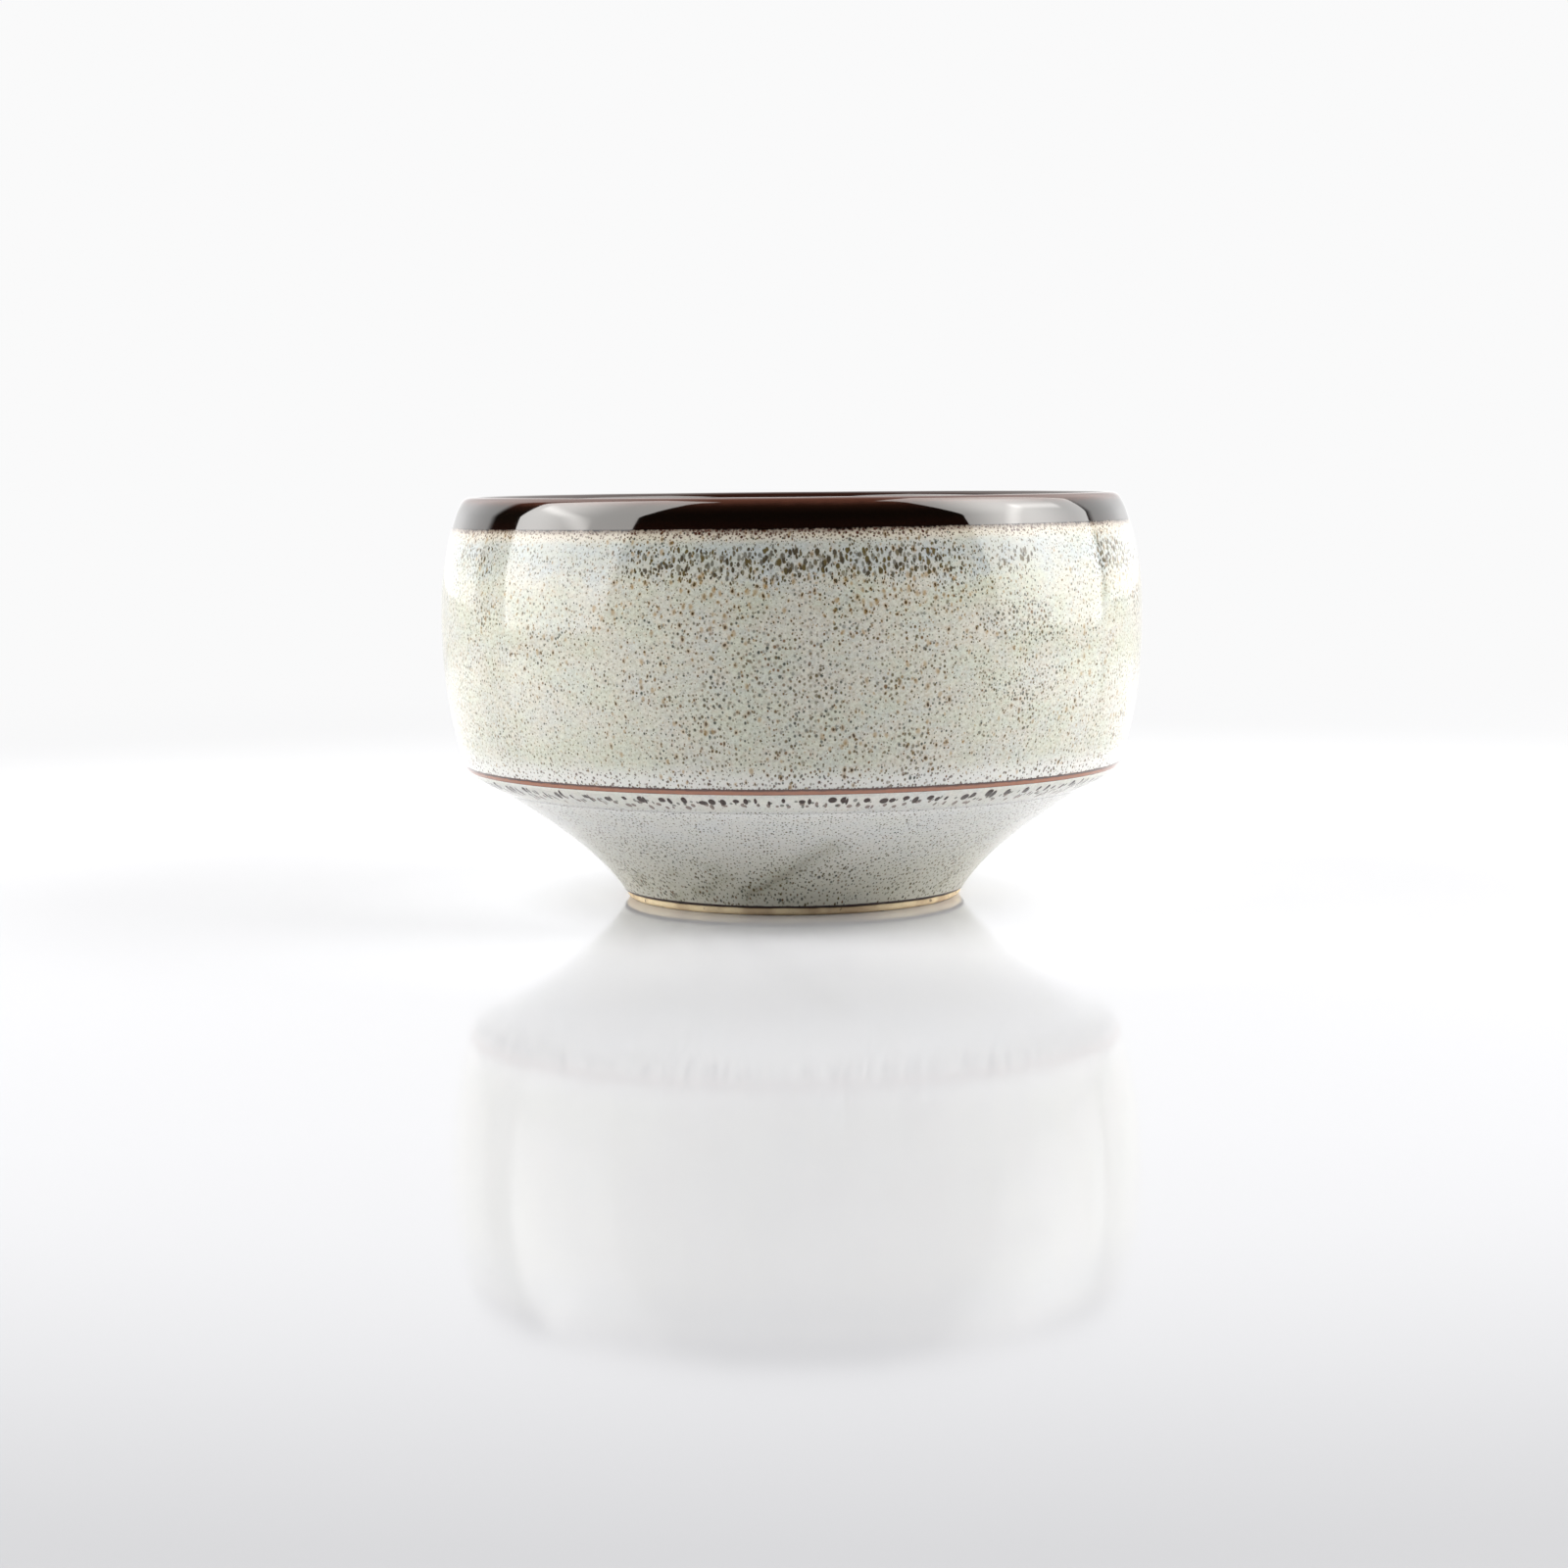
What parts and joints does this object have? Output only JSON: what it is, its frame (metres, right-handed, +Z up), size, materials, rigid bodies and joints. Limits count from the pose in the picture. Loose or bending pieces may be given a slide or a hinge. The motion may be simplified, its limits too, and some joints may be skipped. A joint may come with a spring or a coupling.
{
  "type": "matcha bowl",
  "caption": "Stoneware tea bowl with a barrel-shaped drum wall, a sharp ridge below it and a hollow-curved cone foot, dark glazed inside and speckled pale glazed outside.",
  "frame": {"origin": "centre of the foot ring's resting face, on the floor", "axes": "+Z up along the bowl's turning axis; the bowl is round, so +X and +Y are any two level directions"},
  "size_m": [0.12, 0.12, 0.0689],
  "materials": {
    "bare_clay": "unglazed fired stoneware, pale cream, matt and slightly gritty",
    "dark_glaze": "glossy iron glaze, near black where thick and red-brown where it runs thin over an edge",
    "pale_glaze": "glossy pale grey-green glaze, densely speckled ochre, brown and black",
    "white_glaze": "the same pale glaze where it is thick: glossy, whiter and with a row of large dark spots"
  },
  "bodies": {
    "root": {"clay_body": "bare_clay", "liner_glaze": "dark_glaze", "rim_glaze": "dark_glaze", "base_glaze": "dark_glaze", "wall_glaze": "pale_glaze", "shoulder_glaze": "white_glaze", "cone_glaze": "pale_glaze", "foot_well_glaze": "pale_glaze"}
  },
  "joints": []
}
